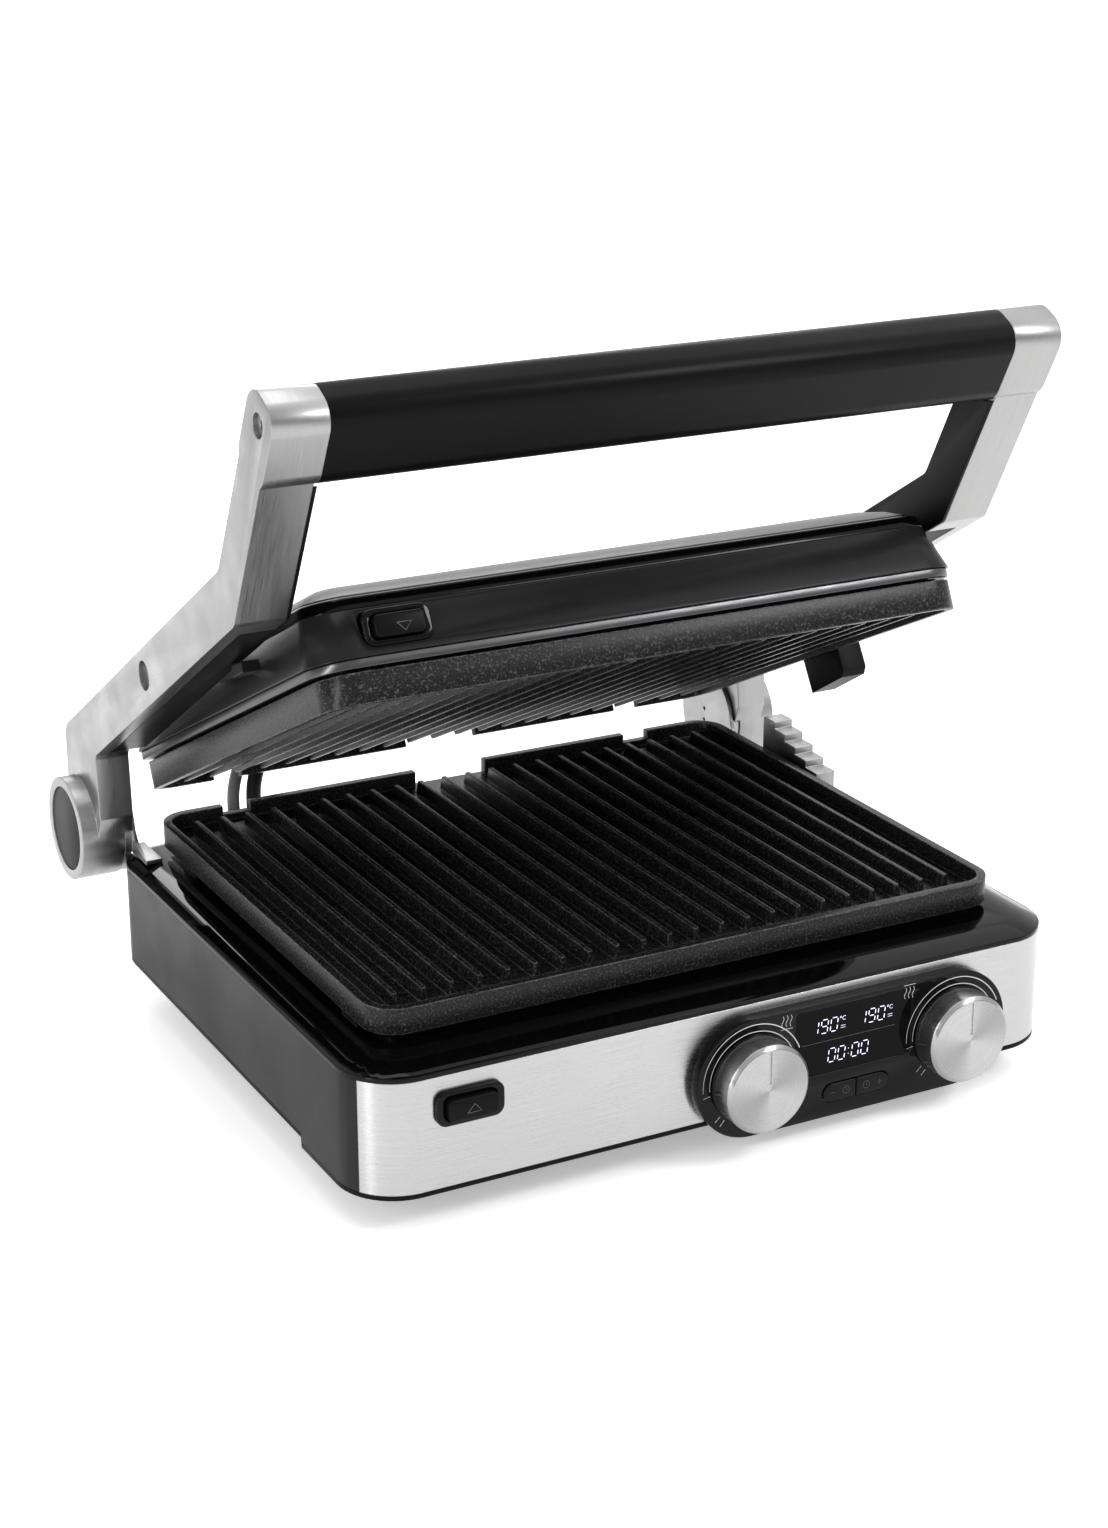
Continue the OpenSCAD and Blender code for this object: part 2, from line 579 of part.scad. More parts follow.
module upper_plate() color("#2a2a2b") opened() {
    difference() {
        union() {
            slab(plate_w, lid_y, lid_back, plate_r, plate_r, lid_z, lid_z + 13);
            slab(plate_w - 2 * body_in, lid_y + body_in, lid_back - body_in, 8, 8,
                lid_z + 12, lid_z + 13 + body_h);
        }
        slab(plate_w - 2 * rim_t, lid_y + rim_t, lid_back - rim_t, plate_r - rim_t, plate_r - rim_t,
            lid_z - 1, lid_z + 8);
        translate([0, lid_y - plate_y, 0]) back_gaps(lid_z - 1, lid_z + 8);
        slab(plate_w - 2 * body_in - 10, lid_y + body_in + 5, lid_back - body_in - 5, 5, 5,
            lid_z + 14.5, lid_z + 14 + body_h);
    }
    ribs(lid_z + 8.5, lid_z + 1, lid_y + 19, lid_back - 12);
    plate_tooth(lid_key_x, shell_y, lid_z + 26, -1, lid_z + 14);
}
module lid_trim_ring() color("#9b9b9d") opened() difference() {
    slab(shell_w - 2, shell_y + 1, shell_back - 1, shell_r - 1, 9, trim_z, shell_z - 0.05);
    slab(shell_w - 14, shell_y + 7, shell_back - 4, shell_r - 7, 4, trim_z - 1, shell_z + 1);
}
module shell_slice(inset, z) translate([0, 0, z]) linear_extrude(0.4)
    plan(shell_w - 2 * inset, shell_y + 1.6 * inset, shell_back - inset, shell_r - inset / 2, 10 - inset / 2);
module lid_shell() color("#414143") opened() difference() {
    hull() {
        shell_slice(0, shell_z);
        shell_slice(5, band_z - 0.45);
    }
    hull() {
        shell_slice(3, shell_z - 0.1);
        shell_slice(8, band_z);
    }
    for (s = [0, 1]) mirror([s, 0, 0]) rod_x(144, 160, pivot_y, pivot_z, pivot_r + 0.1);
    along_y(shell_y - 2, shell_y + 14) pad(lid_key_x, lid_key_z, 30.4, 15.4, 4.7);
    block([lead_x + lead_shift - 14, lead_x + lead_shift + 14], [shell_back - 14, shell_back + 2],
        [lid_z + 20, lid_z + 37]);
}
module lid_band() color("#0c0c0d") opened() difference() {
    hull() {
        shell_slice(5, band_z);
        shell_slice(6, cover_z - 0.4);
        shell_slice(7.5, cover_z + 0.6);
    }
    slab(shell_w - 30, shell_y + 23.5, shell_back - 15, 10, 6, band_z - 1, cover_z + 4);
    for (s = [0, 1]) mirror([s, 0, 0]) rod_x(144, 160, pivot_y, pivot_z, pivot_r + 0.1);
}
module lid_top_cover() color("#8d8d8f") opened() difference() {
    hull() {
        shell_slice(8, cover_z + 1.05);
        shell_slice(14, cover_z + 5);
        shell_slice(21, cover_z + 7.9);
        shell_slice(30, lid_top - 0.4);
    }
    hull() {
        shell_slice(10.5, cover_z + 0.9);
        shell_slice(16.5, cover_z + 3);
        shell_slice(23, cover_z + 5.5);
        shell_slice(32, lid_top - 2.6);
    }
    for (s = [0, 1]) mirror([s, 0, 0]) rod_x(138, 160, pivot_y, pivot_z, pivot_r + 0.3);
}
module upper_release_bezel() color("#1d1d1e") opened() key_surround(lid_key_x, lid_key_z, shell_y + 3.2);
module upper_release_button() color("#2a2a2b") opened() key_cap(lid_key_x, lid_key_z, shell_y + 3.2);
module upper_release_latch() color("#8a8a8a") opened()
    key_hook(lid_key_x, lid_key_z, shell_y + 3.2, lid_z + 26, -1);
module upper_heating_element() color("#6d6a66") opened() translate([0, lid_y - plate_y, 0])
    element_path(lid_z + 17.8, 3.2);
module upper_reflector() color("#b8b8b4") opened() difference() {
    slab(220, lid_y + 16, lid_back - 40, 10, 10, lid_z + 26, lid_z + 31);
    slab(218.4, lid_y + 16.8, lid_back - 40.8, 9.2, 9.2, lid_z + 25, lid_z + 30.2);
}
module upper_thermostat() color("#d8d4c6") opened() translate([0, 0, lid_z + 14.6])
    cylinder(h = 11, r = 12);
module pivot_pin() color("#98989a") opened() difference() {
    rod_x(144.2, arm_x - 3, pivot_y, pivot_z, pivot_r);
    rod_x(arm_x - 7, arm_x, pivot_y, pivot_z, 3.5, $fn = 6);
}
module right_pivot_pin() pivot_pin();
module left_pivot_pin() left() pivot_pin();
// Small lugs on the lid that bear on the underside of the arms when the lid is tipped right back
module tilt_stop_lugs() color("#3a3a3b") opened() for (s = [0, 1]) mirror([s, 0, 0])
    block([shell_w / 2 - 1.8, cover_in + 4], [lid_y + 66, lid_y + 78], [lid_z + 27.5, lid_z + 32.3]);

base_housing();
front_panel();
base_top_frame();
bottom_cover();
feet();
control_panel();
display_lens();
display_module();
control_board();
left_dial();
right_dial();
left_dial_spindle();
right_dial_spindle();
left_potentiometer();
right_potentiometer();
minus_button();
plus_button();
lower_release_bezel();
lower_release_button();
lower_release_latch();
lower_plate();
lower_heating_element();
lower_reflector();
lower_thermostat();
drip_tray();
left_hinge_bracket();
right_hinge_bracket();
left_hinge_pin();
right_hinge_pin();
height_step_rack();
lead_grommet();
braided_lead();
sleeved_lead();
mains_gland();
left_arm();
right_arm();
left_arm_cover();
right_arm_cover();
left_hub_cap();
right_hub_cap();
handle_grip();
handle_rod();
handle_bolts();
stop_guide_rail();
height_stop();
upper_plate();
lid_trim_ring();
lid_shell();
lid_band();
lid_top_cover();
upper_release_bezel();
upper_release_button();
upper_release_latch();
upper_heating_element();
upper_reflector();
upper_thermostat();
left_pivot_pin();
right_pivot_pin();
tilt_stop_lugs();
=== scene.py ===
"""Looks for the panini press: materials, rounded edges, markings, leads, light and camera."""
import json
import math

import bmesh
import bpy
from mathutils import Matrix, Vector


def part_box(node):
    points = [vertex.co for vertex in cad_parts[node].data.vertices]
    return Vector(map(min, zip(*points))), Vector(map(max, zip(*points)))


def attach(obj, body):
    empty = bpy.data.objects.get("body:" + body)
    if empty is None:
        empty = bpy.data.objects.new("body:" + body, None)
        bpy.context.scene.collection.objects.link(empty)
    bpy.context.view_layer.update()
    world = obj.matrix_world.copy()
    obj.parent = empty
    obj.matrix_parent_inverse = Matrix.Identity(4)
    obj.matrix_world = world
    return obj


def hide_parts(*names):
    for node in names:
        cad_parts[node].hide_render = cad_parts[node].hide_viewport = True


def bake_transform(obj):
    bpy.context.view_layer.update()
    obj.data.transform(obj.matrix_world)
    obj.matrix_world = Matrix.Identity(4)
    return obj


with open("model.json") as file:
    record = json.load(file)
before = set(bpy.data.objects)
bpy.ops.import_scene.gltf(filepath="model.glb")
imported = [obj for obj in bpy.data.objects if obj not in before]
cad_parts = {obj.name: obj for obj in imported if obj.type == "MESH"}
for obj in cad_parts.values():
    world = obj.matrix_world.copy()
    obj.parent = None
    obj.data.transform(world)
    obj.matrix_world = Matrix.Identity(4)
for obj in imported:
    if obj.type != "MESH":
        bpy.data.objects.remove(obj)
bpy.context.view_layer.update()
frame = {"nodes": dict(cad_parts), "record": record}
nodes = frame["nodes"]
bodies = frame["record"]["behaviour"]["bodies"]
MM = 0.001
MICRON = 0.001 * MM


def body_of(node):
    """The body that a CAD node belongs to."""
    return next(body for body, names in bodies.items() if node in names)


def middle(node, axis):
    """The middle of a CAD node's box along an axis, where X is 0 and Z is 2."""
    low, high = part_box(node)
    return (low[axis] + high[axis]) / 2


def scaled(color, by):
    return tuple(c * by for c in color)


def grey(value):
    return (value, value, value)


# ---- materials ----


class Look:
    """A procedural material that is built up a feature at a time on one Principled shader."""

    def __init__(self, name, color, rough, metal=0.0, edge=0.4 * MM):
        self.mat = bpy.data.materials.new(name)
        self.mat.use_nodes = True
        self.tree = self.mat.node_tree
        self.shader = self.tree.nodes["Principled BSDF"]
        self.shader.inputs["Metallic"].default_value = metal
        self.shader.inputs["Base Color"].default_value = (*color, 1)
        self.shader.inputs["Roughness"].default_value = rough
        self.color = color
        self.place = self.add("ShaderNodeTexCoord").outputs["Object"]
        bevel = self.add("ShaderNodeBevel", samples=4)
        bevel.inputs["Radius"].default_value = edge
        self.normal = bevel.outputs["Normal"]
        self.rounded = bevel.outputs["Normal"]
        self.link(self.normal, self.shader.inputs["Normal"])
        self.tint = None

    def add(self, kind, **settings):
        node = self.tree.nodes.new(kind)
        for key, value in settings.items():
            setattr(node, key, value)
        return node

    def link(self, output, socket):
        self.tree.links.new(output, socket)

    def calc(self, kind, operation, *values):
        """A maths node's result, from values that are each an output or a plain number or vector."""
        node = self.add(kind, operation=operation)
        for socket, value in zip(node.inputs, values):
            if isinstance(value, bpy.types.NodeSocket):
                self.link(value, socket)
            else:
                socket.default_value = value
        return node.outputs

    def maths(self, operation, *values):
        return self.calc("ShaderNodeMath", operation, *values)["Value"]

    def noise(self, scale, stretch=(1, 1, 1), detail=4):
        """Noise drawn out along the directions where stretch is large."""
        spread = self.add("ShaderNodeMapping", vector_type="TEXTURE")
        spread.inputs["Scale"].default_value = stretch
        self.link(self.place, spread.inputs["Vector"])
        tex = self.add("ShaderNodeTexNoise")
        tex.inputs["Scale"].default_value = scale
        tex.inputs["Detail"].default_value = detail
        self.link(spread.outputs["Vector"], tex.inputs["Vector"])
        return tex.outputs["Fac"]

    def ramp(self, value, low, high, start=0.3, stop=0.7):
        remap = self.add("ShaderNodeMapRange")
        remap.inputs["From Min"].default_value = start
        remap.inputs["From Max"].default_value = stop
        remap.inputs["To Min"].default_value = low
        remap.inputs["To Max"].default_value = high
        self.link(value, remap.inputs["Value"])
        return remap.outputs["Result"]

    def vary_color(self, value, other, low=0.3, high=0.7):
        """Mixes the colour so far towards another one by a texture's value."""
        mix = self.add("ShaderNodeMix", data_type="RGBA")
        # a colour mix has its factor at input 0, its colours at 6 and 7, and its result at output 2
        mix.inputs[6].default_value = (*self.color, 1)
        mix.inputs[7].default_value = (*other, 1)
        if self.tint:
            self.link(self.tint, mix.inputs[6])
        self.link(self.ramp(value, 0, 1, low, high), mix.inputs[0])
        self.tint = mix.outputs[2]
        self.link(self.tint, self.shader.inputs["Base Color"])
        return self

    def vary_rough(self, value, low, high):
        self.link(self.ramp(value, low, high), self.shader.inputs["Roughness"])
        return self

    def bump(self, value, height):
        """Relief whose height is in metres."""
        node = self.add("ShaderNodeBump")
        node.inputs["Strength"].default_value = 1.0
        node.inputs["Distance"].default_value = height
        self.link(value, node.inputs["Height"])
        self.link(self.normal, node.inputs["Normal"])
        self.normal = node.outputs["Normal"]
        self.link(self.normal, self.shader.inputs["Normal"])
        return self

    def wear_and_edge_highlight(self, other, amount=0.6):
        """Shows another colour along the edges, broken up by noise, for edge wear and, on the plate
        coating, a painted highlight.
        """
        flat = self.add("ShaderNodeNewGeometry").outputs["True Normal"]
        dot = self.calc("ShaderNodeVectorMath", "DOT_PRODUCT", flat, self.rounded)["Value"]
        edge = self.ramp(dot, amount, 0, 0.75, 0.98)
        patch = self.ramp(self.noise(260), 0.2, 1, 0.35, 0.65)
        return self.vary_color(self.maths("MULTIPLY", edge, patch), other, 0, 1)

    def streak(self, axis, amount):
        """Draws highlights out, from a tangent that runs round the axis named and is turned a quarter."""
        tangent = self.add("ShaderNodeTangent", direction_type="RADIAL", axis=axis)
        self.link(tangent.outputs["Tangent"], self.shader.inputs["Tangent"])
        return self.set("Anisotropic", amount).set("Anisotropic Rotation", 0.25)

    def set(self, socket, value):
        self.shader.inputs[socket].default_value = value
        return self


def brushed(name, color, rough, stretch, relief=4 * MICRON, depth=0.88, axis=None):
    """Metal with fine scratches that run where stretch is large, and streaks round the axis if any."""
    look = Look(name, color, rough, 1.0, 0.6 * MM)
    grain = look.noise(3200, stretch)
    broad = look.noise(7, detail=2)
    look.vary_color(grain, scaled(color, depth), 0.25, 0.75)
    look.vary_color(broad, scaled(color, 0.9), 0.35, 0.7)
    look.vary_rough(grain, rough * 0.8, rough * 1.3)
    if axis:
        look.streak(axis, 0.7)
    return look.bump(grain, relief).mat


def plastic(name, color, rough, grain=2600, relief=10 * MICRON, edge=0.4 * MM, shine=0.5, worn=1.7):
    """Moulded plastic or paint with a fine texture and slightly polished edges."""
    look = Look(name, color, rough, 0.0, edge)
    fine = look.noise(grain, detail=3)
    broad = look.noise(22, detail=3)
    look.vary_color(broad, scaled(color, 1.25), 0.3, 0.8)
    look.wear_and_edge_highlight(tuple(min(1, c * worn + 0.01) for c in color), 0.5)
    look.vary_rough(broad, rough * 0.85, rough * 1.15)
    look.set("Specular IOR Level", shine)
    return look.bump(fine, relief).mat


def coated(name):
    """Cast aluminium under a dark non-stick coating with a fine metallic sparkle, and a highlight painted
    along its edges.
    """
    look = Look(name, (0.009, 0.009, 0.0092), 0.4, edge=0.9 * MM)
    grit = look.noise(1000, detail=2)
    cloud = look.noise(30, detail=3)
    sparkle = (0.085, 0.085, 0.088)
    painted_edge_highlight = (0.3, 0.3, 0.305)
    look.vary_color(cloud, (0.014, 0.014, 0.0145), 0.3, 0.75)
    look.vary_color(grit, sparkle, 0.55, 0.68)
    # painted highlight: a light colour along the rib and rim edges, standing in for light caught there
    look.wear_and_edge_highlight(painted_edge_highlight, 0.95)
    look.vary_rough(grit, 0.24, 0.36)
    look.set("Specular IOR Level", 0.3)
    return look.bump(grit, 60 * MICRON).mat


def spun(name, x, z):
    """Turned metal whose scratches run in circles round the line through x, z along Y, with fans of
    highlight painted into its colour round that line.
    """
    look = Look(name, grey(0.47), 0.24, 1.0, 0.5 * MM)
    look.streak("Y", 0.8)
    off = look.calc("ShaderNodeVectorMath", "SUBTRACT", look.place, (x, 0, z))["Vector"]
    flat = look.calc("ShaderNodeVectorMath", "MULTIPLY", off, (1, 0, 1))["Vector"]
    rings = look.add("ShaderNodeTexNoise", noise_dimensions="1D")
    rings.inputs["Scale"].default_value = 2600
    look.link(look.calc("ShaderNodeVectorMath", "LENGTH", flat)["Value"], rings.inputs["W"])
    scratches = rings.outputs["Fac"]
    look.vary_color(scratches, grey(0.42), 0.3, 0.7)
    # painted highlight: the colour goes lighter and darker in fans round the axis, standing in for the
    # spun metal's highlights
    parts = look.add("ShaderNodeSeparateXYZ")
    look.link(flat, parts.inputs["Vector"])
    turn = look.maths("ARCTAN2", parts.outputs["Z"], parts.outputs["X"])
    highlight_fans = 2
    highlight_fan_turn = 0.4
    wave = look.maths("SINE", look.maths("MULTIPLY_ADD", turn, highlight_fans, highlight_fan_turn))
    look.vary_color(wave, grey(0.31), -0.6, 1.0)
    look.bump(scratches, 1.5 * MICRON)
    return look.vary_rough(scratches, 0.2, 0.3).mat


def glowing(name, color, strength):
    """A light-emitting surface with a slightly uneven colour."""
    look = Look(name, color, 0.4)
    look.vary_color(look.noise(600, detail=1), scaled(color, 0.8))
    look.set("Emission Color", (*color, 1))
    return look.set("Emission Strength", strength).mat


def braid(name):
    """A woven grey sleeve, by the length and girth laid out in the UV map."""
    look = Look(name, (0.6, 0.6, 0.61), 0.45, 0.4, 0.2 * MM)
    look.place = look.add("ShaderNodeUVMap").outputs["UV"]
    heights = []
    for way in (-1, 1):
        wave = look.add("ShaderNodeTexWave", wave_type="BANDS", bands_direction="DIAGONAL")
        wave.inputs["Scale"].default_value = 1.6
        turn = look.add("ShaderNodeMapping")
        turn.inputs["Scale"].default_value = (1, way, 1)
        look.link(look.place, turn.inputs["Vector"])
        look.link(turn.outputs["Vector"], wave.inputs["Vector"])
        heights.append(wave.outputs["Fac"])
    weave = look.maths("MULTIPLY", *heights)
    look.vary_color(weave, (0.12, 0.12, 0.125), 0.6, 0.1)
    return look.bump(weave, 0.4 * MM).mat


# ---- places taken from the CAD nodes, and the look of each material slot ----

PRINT_GAP = 0.02 * MM
PANEL_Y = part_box("control_panel")[0][1] - PRINT_GAP
LEFT_X = middle("left_dial", 0)
RIGHT_X = middle("right_dial", 0)
DIAL_Z = middle("left_dial", 2)
low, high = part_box("left_dial")
DIAL_R = (high[0] - low[0]) / 2
DIAL_BACK = high[1]
looks = {
    "steel": brushed("brushed_steel", grey(0.49), 0.24, (120, 120, 1), 0.6 * MICRON, 0.93, "Z"),
    "cast": brushed("satin_arm", (0.39, 0.39, 0.388), 0.34, (1, 60, 60), 0.4 * MICRON, 0.95),
    "side": plastic("side_paint", (0.011, 0.011, 0.0115), 0.42, relief=12 * MICRON, shine=0.3),
    "black_gloss": plastic("gloss_black", (0.002, 0.002, 0.0022), 0.05, 900, MICRON, 0.6 * MM, 0.24, 1.2),
    "black_matte": plastic("satin_black", (0.004, 0.004, 0.0042), 0.36, 3000, shine=0.14),
    "plate": coated("granular_coating"),
    "metal": brushed("turned_metal", grey(0.45), 0.3, (20, 1, 1)),
    "screen": plastic("screen_glass", (0.0015, 0.0015, 0.002), 0.04, 900, MICRON, 0.2 * MM, 0.12, 1.2),
    "board": plastic("solder_mask", (0.02, 0.08, 0.035), 0.4),
    "element": brushed("browned_steel", (0.28, 0.25, 0.23), 0.4, (1, 20, 1)),
    "reflector": brushed("rolled_aluminium", (0.6, 0.6, 0.59), 0.25, (1, 40, 1)),
    "ceramic": plastic("steatite", (0.7, 0.67, 0.6), 0.5, 900, 30 * MICRON, shine=0.4, worn=1.0),
    "lid_side": plastic("lid_charcoal", (0.017, 0.017, 0.0175), 0.23, 2600, 2 * MICRON, 0.8 * MM, 0.22),
    "lid_top": brushed("lid_metallic", (0.085, 0.085, 0.088), 0.34, (40, 1, 1), 0.6 * MICRON, 0.92),
    "trim": brushed("trim_metal", (0.13, 0.13, 0.135), 0.3, (40, 1, 1)),
    "braid": braid("woven_sleeve"),
    "rubber": plastic("rubber_black", grey(0.008), 0.6, 1800, 20 * MICRON, 0.5 * MM, 0.3),
}
dial_looks = {
    "left_dial": spun("left_spun", LEFT_X, DIAL_Z),
    "right_dial": spun("right_spun", RIGHT_X, DIAL_Z),
}
slots = {row["node"]: row["material_slot"] for row in frame["record"]["subparts"]}


def look_of(node):
    """A dial's own turned metal, or else the look of the node's slot."""
    return dial_looks.get(node) or looks[slots[node]]


for node, thing in nodes.items():
    thing.data.materials.clear()
    thing.data.materials.append(look_of(node))
white_print = plastic("white_print", (0.62, 0.62, 0.64), 0.4, 900, MICRON)
grey_print = plastic("grey_print", (0.1, 0.1, 0.105), 0.4, 900, MICRON)
lit = glowing("lit_segment", (0.8, 0.78, 1.0), 1.1)


# ---- pieces ----


def place(name, data, material, body, *replaced, slot=None):
    """Adds a piece to the scene, on a body if one is named, in place of any CAD nodes named."""
    piece = bpy.data.objects.new(name, data)
    bpy.context.scene.collection.objects.link(piece)
    data.materials.clear()
    data.materials.append(material)
    if body:
        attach(piece, body)
    if replaced:
        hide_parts(*replaced)
    return piece


def soften(node, width, sharp=28, segments=3):
    """A copy of a CAD node with its sharp edges really rounded."""
    mesh = nodes[node].data.copy()
    work = bmesh.new()
    work.from_mesh(mesh)
    bmesh.ops.remove_doubles(work, verts=work.verts, dist=4 * MICRON)
    nearly_flat = math.radians(1.2)
    bmesh.ops.dissolve_limit(work, angle_limit=nearly_flat, verts=work.verts, edges=work.edges)
    for face in work.faces:
        face.smooth = True
    work.to_mesh(mesh)
    work.free()
    piece = place(node + "_soft", mesh, look_of(node), body_of(node), node)
    round_edges = piece.modifiers.new("edges", "BEVEL")
    round_edges.width = width
    round_edges.segments = segments
    round_edges.limit_method = "ANGLE"
    round_edges.angle_limit = math.radians(sharp)
    round_edges.use_clamp_overlap = True
    round_edges.harden_normals = True
    return piece


def marks(name, strokes, depth, material, body="base", slot="black_gloss", thin=1.0):
    """Printed or lit strokes along rows of points, each ending at thin times its first width."""
    data = bpy.data.curves.new(name, "CURVE")
    data.dimensions = "3D"
    data.bevel_depth = depth
    data.bevel_resolution = 2
    data.use_fill_caps = True
    for points in strokes:
        line = data.splines.new("POLY")
        line.points.add(len(points) - 1)
        for i, (point, spot) in enumerate(zip(line.points, points)):
            point.co = (*spot, 1)
            point.radius = 1 + (thin - 1) * i / (len(points) - 1)
    return place(name, data, material, body, slot=slot)


def smooth_path(points, steps):
    """A Catmull-Rom curve through the points."""
    ends = [points[0] * 2 - points[1]] + points + [points[-1] * 2 - points[-2]]
    path = []
    for a, b, c, d in zip(ends, ends[1:], ends[2:], ends[3:]):
        for step in range(steps):
            t = step / steps
            path.append(0.5 * (2 * b + (c - a) * t + (2 * a - 5 * b + 4 * c - d) * t * t
                               + (3 * b - a - 3 * c + d) * t * t * t))
    return path + [points[-1]]


def full_turn(sides):
    return [2 * math.pi * k / sides for k in range(sides)]


def tube(name, path, radius, material, body, *replaced, sides=20):
    """A round tube along a path that never runs along X, with its UV in eighths of its girth."""
    mesh = bpy.data.meshes.new(name)
    work = bmesh.new()
    uv = work.loops.layers.uv.new("UVMap")
    rings = []
    along = [0.0]
    for i, spot in enumerate(path):
        ahead = (path[min(i + 1, len(path) - 1)] - path[max(i - 1, 0)]).normalized()
        up = ahead.cross(Vector((1, 0, 0))).normalized()
        across = up.cross(ahead)
        ring = [spot + radius * (math.cos(a) * across + math.sin(a) * up) for a in full_turn(sides)]
        rings.append([work.verts.new(v) for v in ring])
        along.append(along[-1] + (path[min(i + 1, len(path) - 1)] - spot).length)
    for i, (one, two) in enumerate(zip(rings, rings[1:])):
        for k in range(sides):
            face = work.faces.new((one[k], one[(k + 1) % sides], two[(k + 1) % sides], two[k]))
            face.smooth = True
            spots = ((i, k), (i, k + 1), (i + 1, k + 1), (i + 1, k))
            for loop, (ring, turn) in zip(face.loops, spots):
                loop[uv].uv = (along[ring] / (2 * math.pi * radius) * 8, turn / sides * 8)
    work.faces.new(rings[0][::-1])
    work.faces.new(rings[-1])
    bmesh.ops.recalc_face_normals(work, faces=work.faces)
    work.to_mesh(mesh)
    work.free()
    return place(name, mesh, material, body, *replaced)


# the width of each rounded edge in millimetres
ROUNDED = {
    "left_arm": 1.1, "right_arm": 1.1, "left_arm_cover": 0.8, "right_arm_cover": 0.8,
    "height_step_rack": 0.4, "height_stop": 0.8, "control_panel": 0.7, "left_dial": 0.5,
    "right_dial": 0.5, "lower_release_bezel": 0.7, "lower_release_button": 0.8,
    "upper_release_bezel": 0.7, "upper_release_button": 0.8, "left_hub_cap": 0.4,
    "right_hub_cap": 0.4, "drip_tray": 0.6, "left_hinge_bracket": 0.5,
    "right_hinge_bracket": 0.5, "minus_button": 0.4, "plus_button": 0.4, "lid_shell": 0.8,
    "lid_band": 0.8, "lid_top_cover": 1.0, "lid_trim_ring": 0.5, "base_top_frame": 0.8,
    "base_housing": 0.6, "handle_grip": 0.4, "upper_plate": 0.2, "lower_plate": 0.2,
    "bottom_cover": 0.5,
}
for node, width in ROUNDED.items():
    soften(node, width * MM)


# ---- markings on the control panel ----

SEGMENTS = {"0": "abcdef", "1": "bc", "9": "abcdfg"}


def on_panel(x, z):
    return Vector((x, PANEL_Y, z))


def digit(mark, x, z, tall):
    """The strokes of a leaning seven-segment digit centred on x, z."""
    half = tall / 2
    wide = tall * 0.27
    gap = tall * 0.1
    corners = {
        "a": ((-wide, half), (wide, half)), "b": ((wide, half), (wide, 0)),
        "c": ((wide, 0), (wide, -half)), "d": ((-wide, -half), (wide, -half)),
        "e": ((-wide, 0), (-wide, -half)), "f": ((-wide, half), (-wide, 0)),
        "g": ((-wide, 0), (wide, 0)),
    }
    strokes = []
    for segment in SEGMENTS[mark]:
        one, two = (Vector(p) for p in corners[segment])
        step = (two - one).normalized() * gap
        ends = (one + step, two - step)
        strokes.append([on_panel(x + p.x + p.y * 0.1, z + p.y) for p in ends])
    return strokes


def number(text, x, z, tall):
    """A row of digits and a colon centred on x."""
    widths = [tall * (0.35 if mark == ":" else 0.78) for mark in text]
    at = x - sum(widths) / 2
    strokes = []
    for mark, width in zip(text, widths):
        if mark == ":":
            for dz in (-0.2, 0.2):
                dot = on_panel(at + width / 2, z + dz * tall)
                strokes.append([dot, dot + Vector((0.1 * MM, 0, 0.3 * MM))])
        else:
            strokes += digit(mark, at + width / 2, z, tall)
        at += width
    return strokes


def ring_arc(x, z, radius, start, stop, steps=32):
    """An arc on the panel round x, z between two angles in degrees."""
    angles = [math.radians(start + (stop - start) * i / steps) for i in range(steps + 1)]
    return [on_panel(x + radius * math.cos(a), z + radius * math.sin(a)) for a in angles]


def tick(x, z, angle, inner, outer):
    """A short line on the panel that points away from x, z."""
    a = math.radians(angle)
    return [on_panel(x + r * math.cos(a), z + r * math.sin(a)) for r in (inner, outer)]


def heat(x, z, tall=5.2 * MM):
    """Three wavy lines."""
    swing = 0.5 * MM
    pitch = 2.0 * MM
    heights = [tall * (i / 12 - 0.5) for i in range(13)]
    waves = [swing * math.sin(h / tall * 2 * math.pi) for h in heights]
    wavy = list(zip(heights, waves))
    return [[on_panel(x + column * pitch + w, z + h) for h, w in wavy] for column in (-1, 0, 1)]


MID = (LEFT_X + RIGHT_X) / 2
INNER_ARC = 21.2 * MM
OUTER_ARC = 24.4 * MM
DIGIT_TALL = 6.2 * MM
TEMPERATURE_ROW = DIAL_Z + 16 * MM
TIMER_ROW = DIAL_Z + 1.8 * MM
DIVIDER_ROW = DIAL_Z + 9 * MM
BAR_BELOW = -3.6 * MM
BAR_ABOVE = 3.6 * MM
digits = []
units = []
for x in (MID - 16 * MM, MID + 8 * MM):
    digits += number("190", x, TEMPERATURE_ROW, DIGIT_TALL)
    units.append(ring_arc(x + 8.2 * MM, TEMPERATURE_ROW + 2.6 * MM, 0.4 * MM, 0, 360, 10))
    units.append(ring_arc(x + 10 * MM, TEMPERATURE_ROW + 2 * MM, 0.9 * MM, 50, 310, 14))
    for dash_z in (TEMPERATURE_ROW - 2.4 * MM, TEMPERATURE_ROW - 1.4 * MM):
        units.append(tick(x + 9.4 * MM, dash_z, 0, -1.2 * MM, 1.2 * MM))
digits += number("00:00", MID - 3.5 * MM, TIMER_ROW, DIGIT_TALL)
marks("display_digits", digits, 0.2 * MM, lit, slot="screen")
marks("display_units", units, 0.1 * MM, lit, slot="screen")
divider = [on_panel(MID - 27 * MM, DIVIDER_ROW), on_panel(MID + 20 * MM, DIVIDER_ROW)]
marks("display_divider", [divider], 0.12 * MM, grey_print, slot="screen")
prints = []
heat_signs = (
    (MID - 35 * MM, DIAL_Z + 22.6 * MM, BAR_BELOW),
    (MID + 27 * MM, DIAL_Z + 22.5 * MM, BAR_ABOVE),
)
